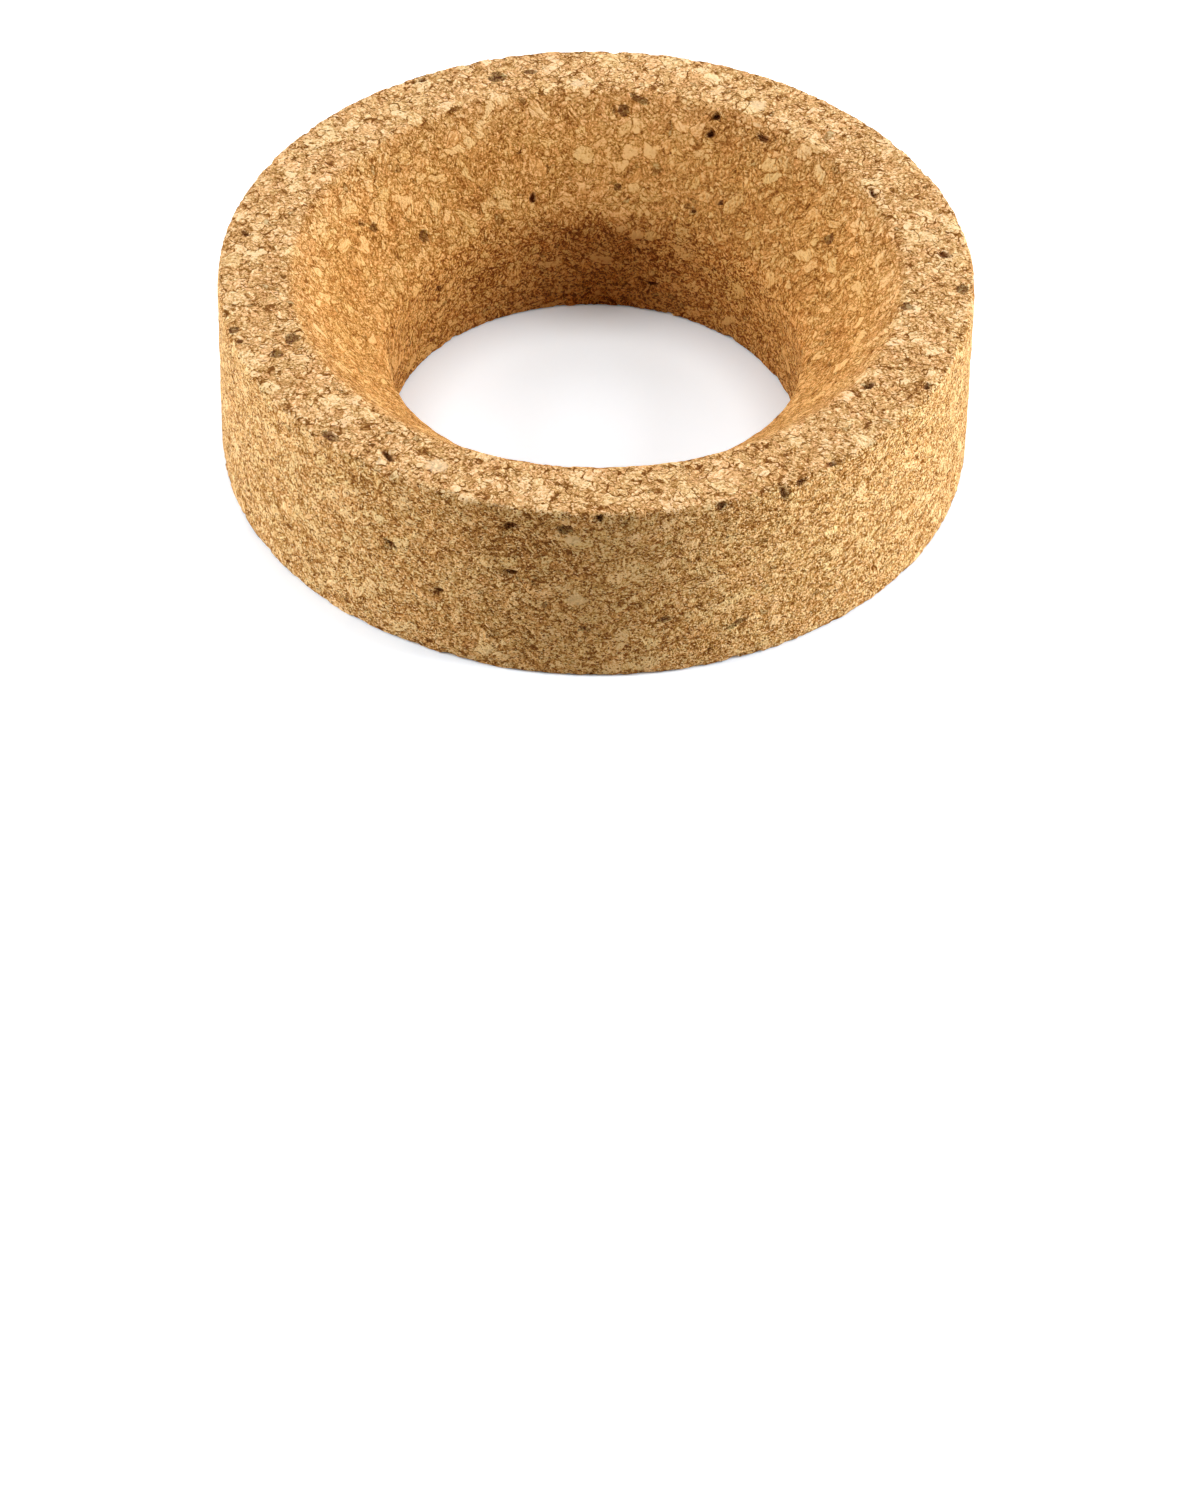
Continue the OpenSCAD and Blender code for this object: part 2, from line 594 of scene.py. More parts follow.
def bent_nodes(recipe, place):
    """The two waves of bent(), as nodes"""
    x, y, z = recipe.parts(place)
    turned = (recipe.joined(y, z, x), recipe.joined(z, x, y))
    moved = place
    for source, length, size, start in zip(turned, BEND_LENGTHS, BEND_SIZES, BEND_STARTS):
        angle = recipe.vector("ADD", recipe.scaled(source, FULL_TURN / length), start)
        moved = recipe.vector("ADD", moved, recipe.scaled(recipe.vector("SINE", angle), size))
    return moved


# Waviness of a granule's outline: noise, and its size in mm
SHAKE_NOISE = (0.9, 2.0, 0.6)
SHAKE_SIZE = 0.5


def granule_nodes(recipe, place, look):
    """The granules of granules(), as nodes, with their outlines shaken a little
    more: three random numbers, whether it is a large one, and the distance to
    the seam in mm"""
    size = look.granule_size / MM
    shake = recipe.noise(place, *SHAKE_NOISE, colour=True)
    shake = recipe.scaled(recipe.vector("SUBTRACT", shake, (0.5, 0.5, 0.5)), SHAKE_SIZE)
    lattice = recipe.vector("ADD", bent_nodes(recipe, place), shake)
    lattice = recipe.vector("MULTIPLY", lattice, (1 / size, 1 / size, look.flattening / size))
    fine = recipe.vector("ADD", recipe.scaled(lattice, SMALL_RATIO), SMALL_SHIFT)
    large, large_seam = recipe.cells(lattice, "F1"), recipe.cells(lattice, "DISTANCE_TO_EDGE")
    small, small_seam = recipe.cells(fine, "F1"), recipe.cells(fine, "DISTANCE_TO_EDGE")
    whole = recipe.maths("LESS_THAN", recipe.parts(large)[0], look.large_share)
    numbers = recipe.mix(whole, small, large)
    # A whole granule's inner seams are moved further off than its own ever is
    small_seam = recipe.maths("ADD", recipe.times(small_seam, 1 / SMALL_RATIO),
                              recipe.times(whole, size))
    seam = recipe.times(recipe.maths("MINIMUM", large_seam, small_seam), size)
    return numbers, whole, seam


# Fibres run along one direction, and chips share it
FIBRE_STRETCH = (0.42, 2.0, 2.0)

# Noises: scale in 1/mm, fineness and roughness
CLOUD_NOISE = (0.13, 2.0, 0.5)
CRACK_NOISE = (0.34, 1.0, 0.6)
CRACK_PATCH_NOISE = (0.42, 2.0, 0.6)
MOTTLE_NOISE = (0.85, 5.0, 0.68)
SEAM_NOISE = (1.1, 3.0, 0.65)
RAGGED_NOISE = (1.1, 4.0, 0.7)
FIBRE_NOISE = (1.6, 3.0, 0.65)
GRAIN_NOISE = (3.4, 2.0, 0.7)

# Chips per mm across the stretched fibres, and specks per mm
CHIP_SCALE = 1.5
SPECK_SCALE = 3.6

# Two noises are moved aside in the block, so that they don't follow the others
CRACK_SHIFT = (17.0, 3.0, 41.0)
SEAM_SHIFT = (31.0, 7.0, 19.0)

# Smooth steps: from a value to a value, and then from a result to a result
# where that isn't 0 to 1. Those of lips and torn granules are in mm
SMOOTH_KINDS = (0.25, 0.35, 0.8, 1.0)
CRACK_PATCHES = (0.45, 0.64)
SEAM_WIDENS = (0.48, 0.72)
SEAM_OPENS = (0.47, 0.62, 0.08, 1.0)
LINE_EDGE = (0.3, 1.2)
LIP_RISES = (0.08, 0.20)
LIP_FALLS = (0.22, 0.55, 1.0, 0.0)
LIP_SHOWS = (0.40, 0.60)
TORN_EDGE = (0.0, 0.22)
BARK_TONES = (0.40, 0.62)

# Length of a nearly sudden step, and a number that keeps a divisor above 0
STEP = 0.02
TINY = 0.0001

# How strongly layers show: everywhere, and what is added on the turned wall, on
# the sawn faces, on the ground faces and in the bore
STRENGTHS = {
    "crack": (0.14, 0.36, 0.84), "seam": (0.20, 0.20, 0.55), "core": (0.15, 0.45, 0.45),
    "tone": (1.0, 0.35, 0, 0.2, 1.1), "grain": (1.0, 0.2), "speck": (0.25, 2.0, 0.5),
    "glint": (0.8, 1.8), "pillow": (1.0, 0, 0, 1.0), "torn": (0.55, 0, 0.45)}

# Width of a closed seam in mm, how dark seams of small granules are and what is
# added for large ones, and the tone of a granule's core
NARROW_SEAM = 0.05
SMALL_SEAM = 0.75
LARGE_SEAM = 0.6
CORE_TONE = 1.1

# Marks: how ragged they are, where each one fades in, how strongly pale chips
# and small granules of bark are coloured, and how far grain mottles the bark
RAGGED_SIZE = 1.9
MARK_EDGES = {"stain": (-0.3, 0.9), "bark": (-0.1, 0.15), "pale": (-0.1, 0.3),
              "void": (-0.05, 0.35)}
PALE_SHARE = 0.65
SMALL_BARK = 0.5
BARK_GRAIN = 0.5

# Places of the six colours on the scale of tones
TONE_STOPS = (0.0, 0.20, 0.40, 0.58, 0.76, 1.0)

# Drops in the bump, in mm, and roughness: usual, by the fibres, and in dark lines
LEVEL_DROP = 0.05
LINE_DROP = 0.14
VOID_DROP = 0.3
ROUGHNESS = (0.66, 0.35, 0.2)


def cork_finish(look):
    """Pressed cork: tones by granule, fibres that run each granule's own way,
    short dark cracks, bark and voids, and the darker ground faces, with painted
    glints, sparkle, highlights and shade"""
    material = bpy.data.materials.new(FINISH)
    material.use_nodes = True
    tree = material.node_tree
    tree.nodes.clear()
    recipe = Recipe(tree)

    place = recipe.scaled(recipe.add("ShaderNodeTexCoord").outputs["Object"], 1 / MM)
    sawn = recipe.attribute("sawn")
    ground = recipe.attribute("ground")
    deep = recipe.attribute("deep")
    turned_wall = recipe.maths("SUBTRACT", recipe.maths("SUBTRACT", 1.0, sawn), ground)

    def strength(layer):
        """How strongly a layer shows on each face"""
        everywhere, *more = STRENGTHS[layer]
        faces = zip((turned_wall, sawn, ground, deep), more)
        return recipe.total(everywhere, *(recipe.times(*pair) for pair in faces if pair[1]))

    numbers, whole, seam = granule_nodes(recipe, place, look)
    level, tone_number, kind = recipe.parts(numbers)

    # Fibres: fine noise, stretched along a direction of the granule's own
    turned = recipe.add("ShaderNodeVectorRotate",
                        {"Vector": place, "Rotation": recipe.scaled(numbers, FULL_TURN)},
                        rotation_type="EULER_XYZ").outputs[0]
    turned = recipe.vector("MULTIPLY", turned, FIBRE_STRETCH)
    fibre = recipe.noise(turned, *FIBRE_NOISE)
    grain = recipe.noise(place, *GRAIN_NOISE)
    bend = recipe.vector("MULTIPLY", place, (1, 1, look.flattening))
    mottle = recipe.noise(bend, *MOTTLE_NOISE)
    cloud = recipe.noise(place, *CLOUD_NOISE)

    # Chips: slivers that lie the granule's own way, each with its own tone and
    # level, and a few of them painted bright as a painted glint
    chip = recipe.add("ShaderNodeTexVoronoi", {"Vector": turned, "Scale": CHIP_SCALE}).outputs
    chip_tone, chip_level, chip_kind = recipe.parts(chip["Color"])
    glint = recipe.eased(chip_kind, look.glint_from - STEP, look.glint_from)

    # Smooth granules take less grain
    smooth = recipe.eased(kind, *SMOOTH_KINDS)

    # Specks: single cells, a few painted bright as painted sparkle and a few dark
    speck = recipe.add("ShaderNodeTexVoronoi", {"Vector": bend, "Scale": SPECK_SCALE})
    speck = recipe.parts(speck.outputs["Color"])[0]
    painted_sparkle = recipe.eased(speck, look.bright_from, look.bright_from + STEP)
    dark_speck = recipe.eased(speck, look.dark_to, look.dark_to + STEP, 1.0, 0.0)

    # Cracks: short curved lines where a soft noise passes its middle value,
    # kept only in patches
    winding = recipe.noise(bend, *CRACK_NOISE)
    off_line = recipe.maths("ABSOLUTE", recipe.maths("SUBTRACT", winding, 0.5))
    patch = recipe.noise(recipe.vector("ADD", bend, CRACK_SHIFT), *CRACK_PATCH_NOISE)
    crack_width = recipe.eased(patch, *CRACK_PATCHES, 0.0, look.crack_width)
    crack = recipe.eased(recipe.maths(
        "DIVIDE", off_line, recipe.maths("ADD", crack_width, TINY)), *LINE_EDGE)
    crack = recipe.times(recipe.maths("SUBTRACT", 1.0, crack), strength("crack"))

    # Seams: dark where the noise along them is high, and wider there
    along = recipe.noise(recipe.vector("ADD", place, SEAM_SHIFT), *SEAM_NOISE)
    width = recipe.eased(along, *SEAM_WIDENS, NARROW_SEAM, look.seam_width / MM)
    open_seam = recipe.maths("SUBTRACT", 1.0, recipe.eased(
        recipe.maths("DIVIDE", seam, width), *LINE_EDGE))
    open_seam = recipe.times(open_seam, recipe.eased(along, *SEAM_OPENS), strength("seam"),
                             recipe.total(SMALL_SEAM, recipe.times(whole, LARGE_SEAM)))
    dark = recipe.maths("MAXIMUM", open_seam, crack)
    # Pillows: painted shade, each granule lighter in its middle and darker towards its seam as if
    # it bulged
    pillow = recipe.eased(seam, 0.0, look.pillow_width / MM)
    core = recipe.eased(seam, 0.0, look.core_width / MM, strength("core"), CORE_TONE)
    # Lips: a painted highlight along the edges of open seams
    lip = recipe.times(recipe.eased(seam, *LIP_RISES), recipe.eased(seam, *LIP_FALLS),
                       recipe.eased(along, *LIP_SHOWS))

    # Small granules that have been torn out leave hollows, painted darker as painted shade
    torn = recipe.times(recipe.maths("LESS_THAN", tone_number, look.torn_share),
                        recipe.maths("SUBTRACT", 1.0, whole), recipe.eased(seam, *TORN_EDGE))

    # Marks: the fields of the mesh with ragged outlines
    ragged = centred(recipe, recipe.noise(place, *RAGGED_NOISE), RAGGED_SIZE)
    stain, bark, pale, void = (
        recipe.eased(recipe.maths("ADD", recipe.attribute(name), ragged), *edge)
        for name, edge in MARK_EDGES.items())

    # The turned wall is the grainiest face, and the bore has the boldest tones
    bold = strength("tone")
    speckled = strength("speck")
    fine = recipe.times(recipe.total(
        centred(recipe, fibre, look.fibre_contrast),
        centred(recipe, grain, look.grain_contrast)), smooth, strength("grain"))
    tone = recipe.total(
        look.middle_tone,
        recipe.times(centred(recipe, tone_number, look.granule_contrast), bold, core),
        recipe.times(centred(recipe, whole, look.large_contrast), core),
        centred(recipe, cloud, look.cloud_contrast),
        recipe.times(centred(recipe, mottle, look.mottle_contrast), bold),
        recipe.times(centred(recipe, chip_tone, look.chip_contrast), bold, smooth),
        recipe.times(fine, bold),
        # painted glints on a few chips
        recipe.times(glint, strength("glint"), look.glint_tone),
        # painted sparkle on bright specks
        recipe.times(painted_sparkle, speckled, look.painted_sparkle_tone),
        recipe.times(dark_speck, speckled, -look.dark_speck_tone),
        # painted highlight on the lips of seams
        recipe.times(lip, look.lip_highlight_tone),
        # painted shade of the pillows
        recipe.times(centred(recipe, pillow, look.pillow_shade_contrast), strength("pillow")),
        recipe.times(stain, -look.stain_tone),
        # painted shade in the torn hollows
        recipe.times(torn, strength("torn"), -look.torn_shade_tone),
    )
    tone = recipe.maths("SUBTRACT", tone, recipe.times(dark, look.seam_contrast))
    colour = recipe.tones(tone, zip(TONE_STOPS, (
        look.seam_colour, look.dark_colour, look.shade_colour, look.body_colour,
        look.light_colour, look.pale_colour)))

    # Some granules lean to pink, others to yellow
    hue = recipe.mix(kind, look.pink_filter, look.yellow_filter)
    colour = recipe.tint(1.0, colour, hue)

    # Bark, in small granules and in larger marks, and then pale chips, and painted
    # shade inside the voids
    small_bark = recipe.maths("GREATER_THAN", kind, look.bark_from)
    small_bark = recipe.times(small_bark, recipe.maths("SUBTRACT", 1.0, whole))
    bark_tone = recipe.eased(recipe.total(mottle, recipe.times(fine, BARK_GRAIN)), *BARK_TONES)
    bark_colour = recipe.mix(bark_tone, look.bark_brown, look.bark_grey)
    bark = recipe.maths("MAXIMUM", bark, recipe.times(small_bark, SMALL_BARK))
    colour = recipe.tint(bark, colour, bark_colour)
    colour = recipe.mix(recipe.times(pale, PALE_SHARE), colour, look.pale_colour)
    colour = recipe.tint(void, colour, look.void_shade_filter)

    # The ground faces are darker and warmer than the sawn ones
    colour = recipe.tint(ground, colour, look.ground_filter)
    # The bore is darker and warmer again: partly its own tint, partly painted shade deep in the
    # ring
    colour = recipe.tint(deep, colour, look.deep_tint_and_shade)
    colour = recipe.tint(turned_wall, colour, look.turned_filter)

    height = recipe.total(
        recipe.times(level, -LEVEL_DROP),
        recipe.times(dark, -LINE_DROP),
        centred(recipe, mottle, look.mottle_height / MM),
        recipe.times(smooth, recipe.total(
            recipe.times(chip_level, look.chip_height / MM),
            recipe.times(chip["Distance"], -look.chip_height / MM),
            centred(recipe, fibre, look.fibre_height / MM),
            centred(recipe, grain, look.grain_height / MM))),
        recipe.times(void, -VOID_DROP),
    )
    bump = recipe.add("ShaderNodeBump", {"Distance": MM, "Height": height}).outputs[0]
    usual, by_fibre, in_lines = ROUGHNESS
    roughness = recipe.total(usual, centred(recipe, fibre, by_fibre),
                             recipe.times(dark, in_lines))
    shader = recipe.add("ShaderNodeBsdfPrincipled", {
        "Base Color": colour, "Roughness": roughness, "Normal": bump,
        "Specular IOR Level": look.gloss})
    recipe.add("ShaderNodeOutputMaterial", {"Surface": shader.outputs[0]})
    return material


# --- Stage: floor, lamps, surroundings and camera ---

# Lamps: name, place, width, height in metres, and a share of the lamp power
LAMPS = (
    ("lamp_left", (-0.90, -0.04, 0.34), 0.45, 0.70, 0.43),
    ("lamp_right", (0.90, -0.04, 0.34), 0.45, 0.70, 0.52),
    ("lamp_back", (0.0, 0.90, 0.50), 0.80, 0.60, 0.17),
)
LAMP_AIM = (0.0, 0.0, 0.015)

# Rays that feel for the ring at each point of the floor, for the painted contact shadow
CONTACT_SAMPLES = 8
WHITE = (1.0, 1.0, 1.0, 1.0)

# Camera: distance and height angle to the middle of the ring, small turns to
# the side, up and about its own axis, in radians, the image's height and the
# focal length in its pixels, the sensor in mm, and the range of sight
CAMERA_DISTANCE = 0.9373
CAMERA_ANGLE = np.radians(38.463)
CAMERA_TURNS = (-0.000472, -0.062262, -0.015379)
IMAGE_HEIGHT = 1500
FOCAL_PIXELS = 6383.0
SENSOR_HEIGHT = 36.0
NEAREST = 0.05
FARTHEST = 20.0


def white_share(recipe):
    """1 for the camera and for mirror-like and see-through rays, else 0"""
    path = recipe.add("ShaderNodeLightPath").outputs
    return recipe.maths("MAXIMUM", path["Is Camera Ray"], recipe.maths(
        "MAXIMUM", path["Is Glossy Ray"], path["Is Transmission Ray"]))


def lay_floor(stage):
    """Flat square floor: (x, y) times half its size, at height 0"""
    corners = np.array(((-1, -1, 0), (1, -1, 0), (1, 1, 0), (-1, 1, 0))) * stage.floor_size / 2
    mesh = bpy.data.meshes.new("floor")
    mesh.from_pydata(corners.tolist(), [], [(0, 1, 2, 3)])
    material = bpy.data.materials.new("floor")
    material.use_nodes = True
    material.node_tree.nodes.clear()
    recipe = Recipe(material.node_tree)
    seen = white_share(recipe)
    paint = recipe.mix(seen, stage.floor_bounce, stage.floor_colour)
    diffuse = recipe.add("ShaderNodeBsdfDiffuse", {"Color": paint}).outputs[0]
    # The added white fades where the ring is near: a painted contact shadow
    open_sky = recipe.add("ShaderNodeAmbientOcclusion", {"Distance": stage.contact_reach},
                          samples=CONTACT_SAMPLES).outputs["AO"]
    glow = recipe.add("ShaderNodeEmission", {
        "Strength": recipe.times(seen, recipe.maths("POWER", open_sky, stage.contact_depth),
                                 stage.floor_white)}).outputs[0]
    both = recipe.add("ShaderNodeAddShader", {0: diffuse, 1: glow}).outputs[0]
    recipe.add("ShaderNodeOutputMaterial", {"Surface": both})
    mesh.materials.append(material)
    floor = bpy.data.objects.new("floor", mesh)
    bpy.context.scene.collection.objects.link(floor)
    return floor


def hang_lamps(stage):
    """Soft oblong lamps, each turned towards the ring and hidden from the camera"""
    for name, place, width, height, share in LAMPS:
        lamp = bpy.data.lights.new(name, "AREA")
        lamp.shape = "RECTANGLE"
        lamp.size = width
        lamp.size_y = height
        lamp.energy = stage.lamp_power * share
        holder = bpy.data.objects.new(name, lamp)
        holder.location = place
        holder.visible_camera = False
        aim = Vector(LAMP_AIM) - Vector(place)
        holder.rotation_euler = aim.to_track_quat("-Z", "Y").to_euler()
        bpy.context.scene.collection.objects.link(holder)


def surround():
    """White surroundings for the camera and for gloss, which give no other light"""
    world = bpy.data.worlds.new("surroundings")
    world.use_nodes = True
    world.node_tree.nodes.clear()
    recipe = Recipe(world.node_tree)
    background = recipe.add("ShaderNodeBackground", {
        "Color": WHITE, "Strength": white_share(recipe)}).outputs[0]
    recipe.add("ShaderNodeOutputWorld", {"Surface": background})
    bpy.context.scene.world = world


def set_camera():
    """Camera on a long lens, in front of the ring and above it"""
    middle = Vector((0, 0, RING_HEIGHT / 2))
    back = Vector((0, -np.cos(CAMERA_ANGLE), np.sin(CAMERA_ANGLE)))
    ahead = -back
    right = ahead.cross(Vector((0, 0, 1))).normalized()
    up = right.cross(ahead)
    pan, tilt, roll = CAMERA_TURNS
    turn = Matrix.Rotation(pan, 3, up)
    ahead, right = turn @ ahead, turn @ right
    turn = Matrix.Rotation(tilt, 3, right)
    ahead, up = turn @ ahead, turn @ up
    turn = Matrix.Rotation(roll, 3, ahead)
    right, up = turn @ right, turn @ up
    lens = bpy.data.cameras.new("camera")
    lens.sensor_fit = "VERTICAL"
    lens.sensor_height = SENSOR_HEIGHT
    lens.lens = FOCAL_PIXELS * SENSOR_HEIGHT / IMAGE_HEIGHT
    lens.clip_start = NEAREST
    lens.clip_end = FARTHEST
    camera = bpy.data.objects.new("camera", lens)
    camera.matrix_world = Matrix.Translation(middle + back * CAMERA_DISTANCE) @ Matrix(
        (right, up, -ahead)).transposed().to_4x4()
    bpy.context.scene.collection.objects.link(camera)
    bpy.context.scene.camera = camera


# --- Settings ---

def length_setting(name, description, default, low, high):
    """A length in metres"""
    return bpy.props.FloatProperty(
        name=name, description=description, default=default, min=low, max=high, precision=5,
        unit="LENGTH", subtype="DISTANCE")


def share_setting(name, description, default, high=1.0):
    """A number from 0 to high, shown as a slider"""
    return bpy.props.FloatProperty(
        name=name, description=description, default=default, min=0.0, max=high, precision=3,
        subtype="FACTOR")


def colour_setting(name, description, default):
    """A linear colour with full cover"""
    return bpy.props.FloatVectorProperty(
        name=name, description=description, size=4, subtype="COLOR", min=0.0, max=2.0,
        default=(*default, 1.0))


class RingSizes(bpy.types.PropertyGroup):
    """Sizes of the ring"""

    outside_diameter: length_setting(
        "Outside diameter", "Across the outer wall", 0.110, 0.094, 0.170)
    ring_height: length_setting(
        "Height", "From the underside to the rim", RING_HEIGHT, 0.025, 0.044)
    bore_diameter: length_setting(
        "Bore diameter", "Across the straight bore", BORE_DIAMETER, 0.030, 0.070)
    rim_width: length_setting(
        "Rim width", "From the outer wall to the mouth of the seat", 0.0105, 0.005, 0.015)
    bore_height: length_setting(
        "Bore height", "From the underside to the foot of the seat", 0.016, 0.010, 0.022)
    throat_rounding: length_setting(
        "Throat rounding", "Between the seat and the bore", 0.006, 0.001, 0.009)
    mouth_rounding: length_setting(
        "Mouth rounding", "Between the rim and the seat", 0.002, 0.0005, 0.004)
    rim_rounding: length_setting(
        "Rim rounding", "Between the rim and the outer wall", 0.0008, 0.0002, 0.003)
    foot_rounding: length_setting(
        "Foot rounding", "Of both edges of the underside", 0.0004, 0.0002, 0.002)


class CorkLook(bpy.types.PropertyGroup):
    """Granules, colours and contrasts of the cork"""

    granule_size: length_setting(
        "Granule size", "Across a large granule", 0.0025, 0.001, 0.006)
    granule_relief: length_setting(
        "Granule relief", "Most that a granule lies below the face", 0.00018, 0.0, 0.0005)
    seam_width: length_setting(
        "Seam width", "Widest opening between two granules", 0.00020, 0.0, 0.001)
    core_width: length_setting(
        "Core width", "From a granule's edge to its own full tone", 0.0005, 0.0001, 0.002)
    pillow_width: length_setting(
        "Pillow width", "How far in from its seam a granule is shaded", 0.0004, 0.0, 0.002)
    mottle_height: length_setting(
        "Mottle height", "Height of the unevenness within granules", 0.00035, 0.0, 0.002)
    chip_height: length_setting(
        "Chip height", "Between the highest and the lowest chips", 0.00015, 0.0, 0.001)
    fibre_height: length_setting("Fibre height", "Height of the fibres", 0.0004, 0.0, 0.002)
    grain_height: length_setting(
        "Grain height", "Height of the finest grain", 0.0004, 0.0, 0.002)
    flattening: share_setting(
        "Flattening", "How much shorter granules are upright than across", 1.5, 3.0)
    large_share: share_setting("Large share", "Share of the block filled by large granules", 0.30)
    torn_share: share_setting(
        "Torn share", "Share of the small granules that are torn out", 0.035)
    bark_from: share_setting(
        "Bark from", "Random number above which a small granule is bark", 0.988)
    crack_width: share_setting("Crack width", "Width of the widest cracks", 0.024)
    middle_tone: share_setting("Middle tone", "Tone of the plain cork, 0 dark to 1 pale", 0.67)
    large_contrast: share_setting(
        "Large granules' contrast", "Tone of large granules over small ones", 0.07)
    granule_contrast: share_setting("Granule contrast", "Between granules", 0.34)
    cloud_contrast: share_setting("Cloud contrast", "Between wide patches", 0.22)
    mottle_contrast: share_setting("Mottle contrast", "Within granules", 0.34)
    chip_contrast: share_setting("Chip contrast", "Between the chips of a granule", 0.40)
    # Glints: chips painted brighter, a painted highlight
    glint_from: share_setting("Glint from", "Random number above which a chip is bright", 0.93)
    glint_tone: share_setting("Glint tone", "How much brighter those chips are", 0.22)
    # Bright specks are painted sparkle, a painted highlight on single cells
    bright_from: share_setting("Bright specks from", "Specks above this number are bright", 0.92)
    dark_to: share_setting("Dark specks to", "Specks below this number are dark", 0.09)
    painted_sparkle_tone: share_setting("Bright speck", "Tone added to a bright speck", 0.45)
    dark_speck_tone: share_setting("Dark speck", "Tone taken from a dark speck", 0.45)
    fibre_contrast: share_setting("Fibre contrast", "Of the fibres", 0.9)
    grain_contrast: share_setting("Grain contrast", "Of the finest grain", 1.1)
    # Lips are a painted highlight beside open seams
    lip_highlight_tone: share_setting("Lip tone", "How much brighter the lips of open seams are", 0.12)
    # The hollows' darkness is painted shade
    torn_shade_tone: share_setting("Torn tone", "Darkness of the hollows", 0.55)
    # Pillows are painted shade of bulging granules
    pillow_shade_contrast: share_setting(
        "Pillow contrast", "Between a granule's middle and its edge", 0.14)
    stain_tone: share_setting("Stain tone", "Darkness of the stains", 0.20)
    seam_contrast: share_setting("Seam contrast", "Darkness of the open seams", 0.74)
    gloss: share_setting("Gloss", "Specular level of the cork", 0.06)
    seam_colour: colour_setting("Seam", "Darkest tone", (0.180, 0.060, 0.010))
    dark_colour: colour_setting("Dark", "Dark tone", (0.290, 0.115, 0.022))
    shade_colour: colour_setting(
        "Shade", "Tone a little darker than the body", (0.440, 0.210, 0.060))
    body_colour: colour_setting("Body", "Usual tone", (0.640, 0.347, 0.133))
    light_colour: colour_setting("Light", "Light tone", (0.800, 0.475, 0.206))
    pale_colour: colour_setting("Pale", "Tone of pale chips", (0.970, 0.720, 0.430))
    pink_filter: colour_setting(
        "Pink filter", "Tint of the pinker granules", (1.02, 0.975, 0.955))
    yellow_filter: colour_setting(
        "Yellow filter", "Tint of the yellower granules", (0.985, 1.005, 0.93))
    ground_filter: colour_setting(
        "Ground filter", "Tint of the seat and the bore", (0.923, 0.785, 0.542))
    # The bore's filter is partly its own tint and partly painted shade
    deep_tint_and_shade: colour_setting(
        "Deep filter", "Further tint of the bore", (0.93, 0.86, 0.745))
    turned_filter: colour_setting(
        "Turned filter", "Tint of the outer wall", (0.86, 0.855, 0.778))
    bark_brown: colour_setting("Brown bark", "Filter of brown bark", (0.28, 0.20, 0.15))
    bark_grey: colour_setting(
        "Grey bark", "Filter of grey-green bark", (0.42, 0.39, 0.30))
    # Painted shade inside the voids, over their sunk hollows
    void_shade_filter: colour_setting("Void", "Filter inside a void", (0.40, 0.28, 0.22))


class StageSettings(bpy.types.PropertyGroup):
    """Floor and light"""

    floor_size: length_setting("Floor size", "Side of the square floor", 2.0, 1.0, 20.0)
    floor_colour: colour_setting("Floor colour", "Floor as it is seen", (0.80, 0.88, 0.97))
    floor_bounce: colour_setting(
        "Floor bounce", "Floor as it lights the ring", (0.80, 0.68, 0.50))
    floor_white: share_setting("Floor white", "White added to the floor as it is seen", 0.55)
    # The fade of the added white beside the ring is a painted contact shadow
    contact_reach: length_setting(
        "Contact reach", "How far the added white fades beside the ring", 0.009, 0.001, 0.05)
    contact_depth: share_setting(
        "Contact depth", "How strongly the added white fades there", 1.2, 8.0)
    lamp_power: bpy.props.FloatProperty(
        name="Lamp power", description="Power of a full lamp", default=38.3, min=0.0,
        max=200.0, precision=3, unit="POWER")


# --- Operators and panel ---

class CORKRING_OT_ring(bpy.types.Operator):
    """Cut the ring out of the pressed block, in place of its plain solid"""

    bl_idname = "corkring.ring"
    bl_label = "Cut the Ring"

    def execute(self, context):
        scene = context.scene
        if NODE not in frame["nodes"]:
            raise RuntimeError("the frame has no " + NODE)
        ring = bpy.data.objects.new("ring_of_cork", cut_ring(scene.ring_sizes, scene.cork_look))
        scene.collection.objects.link(ring)
        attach(ring, BODY)
        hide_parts(NODE)
        return {"FINISHED"}


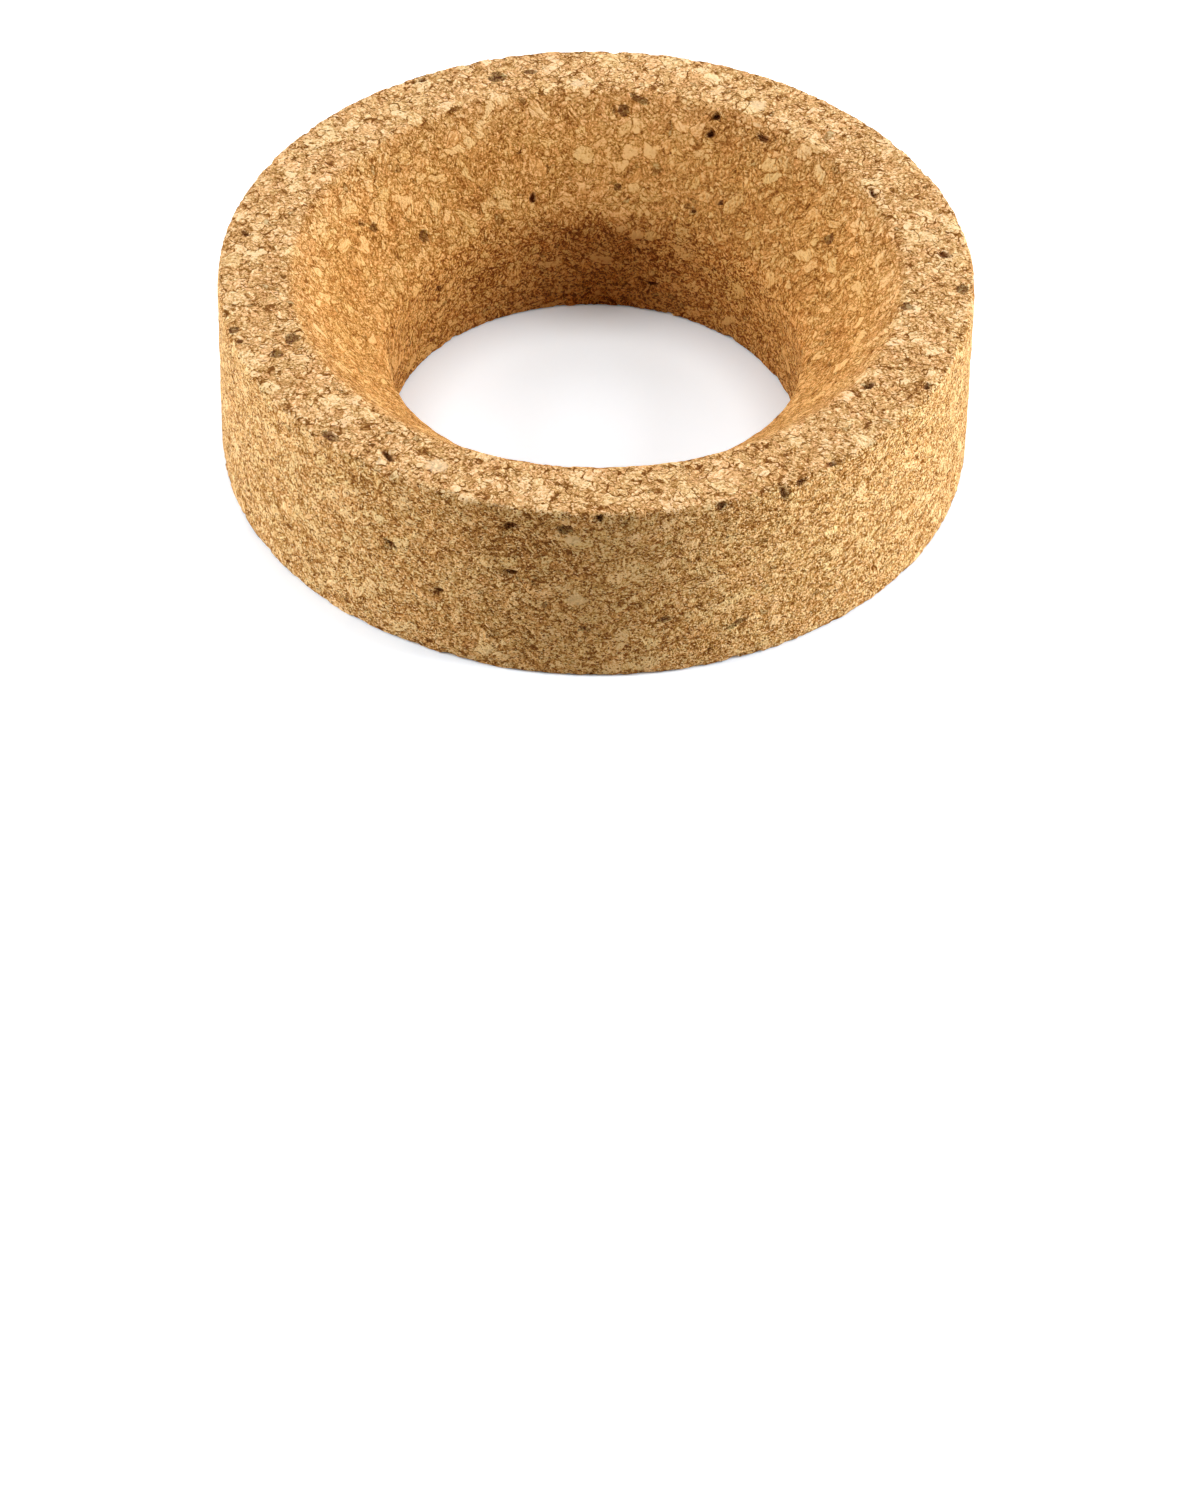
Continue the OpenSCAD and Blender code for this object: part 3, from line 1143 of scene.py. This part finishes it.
class CORKRING_OT_finish(bpy.types.Operator):
    """Give the ring its cork finish"""

    bl_idname = "corkring.finish"
    bl_label = "Finish the Cork"

    def execute(self, context):
        ring = bpy.data.objects.get("ring_of_cork")
        if ring is None:
            raise RuntimeError("cut the ring before its finish")
        ring.data.materials.clear()
        ring.data.materials.append(cork_finish(context.scene.cork_look))
        return {"FINISHED"}


class CORKRING_OT_stage(bpy.types.Operator):
    """Lay the floor, hang the lamps and set up the camera"""

    bl_idname = "corkring.stage"
    bl_label = "Set the Stage"

    def execute(self, context):
        stage = context.scene.stage_settings
        lay_floor(stage)
        hang_lamps(stage)
        surround()
        set_camera()
        context.scene.view_settings.view_transform = "Standard"
        return {"FINISHED"}


class CORKRING_PT_panel(bpy.types.Panel):
    """Lists the settings and the operators"""

    bl_idname = "CORKRING_PT_panel"
    bl_label = "Cork Ring"
    bl_space_type = "VIEW_3D"
    bl_region_type = "UI"
    bl_category = "Cork Ring"

    def draw(self, context):
        steps = (("ring_sizes", CORKRING_OT_ring), ("cork_look", CORKRING_OT_finish),
                 ("stage_settings", CORKRING_OT_stage))
        for settings, operator in steps:
            group = getattr(context.scene, settings)
            box = self.layout.box()
            for name in group.__annotations__:
                box.prop(group, name)
            box.operator(operator.bl_idname)


SETTINGS = {"ring_sizes": RingSizes, "cork_look": CorkLook, "stage_settings": StageSettings}
CLASSES = (RingSizes, CorkLook, StageSettings, CORKRING_OT_ring, CORKRING_OT_finish,
           CORKRING_OT_stage, CORKRING_PT_panel)


def register():
    """Adds the classes, and the settings to the scene"""
    for item in CLASSES:
        bpy.utils.register_class(item)
    for name, group in SETTINGS.items():
        setattr(bpy.types.Scene, name, bpy.props.PointerProperty(type=group))


def unregister():
    """Takes the settings and the classes away again"""
    for name in SETTINGS:
        delattr(bpy.types.Scene, name)
    for item in reversed(CLASSES):
        bpy.utils.unregister_class(item)


def main():
    """Makes everything, in order"""
    register()
    bpy.ops.corkring.stage()
    bpy.ops.corkring.ring()
    bpy.ops.corkring.finish()


if __name__ == "__main__":
    main()
